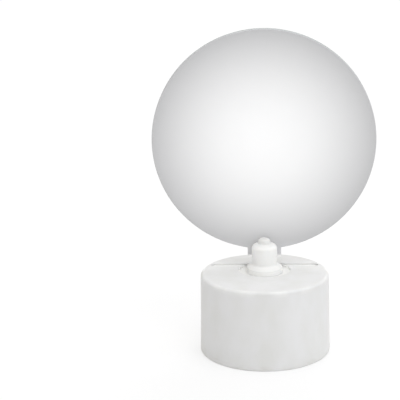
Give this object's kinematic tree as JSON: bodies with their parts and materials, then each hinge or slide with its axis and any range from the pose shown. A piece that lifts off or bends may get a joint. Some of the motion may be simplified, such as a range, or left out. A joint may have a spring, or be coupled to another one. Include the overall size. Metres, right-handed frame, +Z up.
{
  "type": "acrylic led lamp",
  "caption": "Small battery table lamp: a round acrylic plate on a tongue stands in the slotted top of a short round white base, behind a stubby glowing flame",
  "frame": {"origin": "centre of the flat ring that the base rests on", "axes": "+Z up, +X to the right seen from the front, -Y is the front, where the flame stands before the panel"},
  "size_m": [0.08, 0.047, 0.1156],
  "materials": {
    "frosted_acrylic": "cast acrylic sheet 3 mm, laser cut, with a white satin face and polished edge",
    "white_shell_plastic": "injection moulded white translucent polypropylene, satin",
    "flame_plastic": "injection moulded milky diffuser plastic, soft satin",
    "plate_plastic": "injection moulded white ABS, fine matt texture",
    "screw_steel": "zinc plated steel",
    "cell_steel": "nickel plated steel can",
    "contact_nickel": "nickel plated spring strip",
    "board_laminate": "green coated glass-fibre laminate",
    "led_epoxy": "clear epoxy lens",
    "tinned_lead": "tinned copper alloy",
    "resistor_body": "lacquered carbon film resistor",
    "switch_steel": "nickel plated sheet steel",
    "switch_phenolic": "brown phenolic laminate",
    "knob_plastic": "moulded black plastic",
    "wiper_brass": "phosphor bronze spring strip",
    "red_insulation": "red wire insulation",
    "black_insulation": "black wire insulation"
  },
  "bodies": {
    "base": {"base_shell": "white_shell_plastic", "flame_diffuser": "flame_plastic", "base_plate": "plate_plastic", "plate_screws": "screw_steel", "button_cell_1": "cell_steel", "button_cell_2": "cell_steel", "button_cell_3": "cell_steel", "contact_negative": "contact_nickel", "contact_positive": "contact_nickel", "circuit_board": "board_laminate", "board_screws": "screw_steel", "led_lens": "led_epoxy", "led_anode_lead": "tinned_lead", "led_cathode_lead": "tinned_lead", "limit_resistor": "resistor_body", "switch_frame": "switch_steel", "switch_board": "switch_phenolic", "switch_terminals": "tinned_lead", "switch_screws": "screw_steel", "switch_wire_red": "red_insulation", "switch_wire_black": "black_insulation"},
    "panel": {"acrylic_panel": "frosted_acrylic"},
    "door": {"battery_door": "plate_plastic"},
    "knob": {"switch_knob": "knob_plastic", "switch_wiper": "wiper_brass"}
  },
  "joints": [
    {"name": "panel_lift", "type": "slide", "parent": "base", "child": "panel", "axis": [0, 0, 1], "range_m": [0, 0.012]},
    {"name": "battery_door_hinge", "type": "hinge", "parent": "base", "child": "door", "pos_m": [0.0094, -0.0095, 0.002], "axis": [0, -1, 0], "range_deg": [0, 95]},
    {"name": "switch_slide", "type": "slide", "parent": "base", "child": "knob", "axis": [1, 0, 0], "range_m": [0, 0.002]}
  ]
}
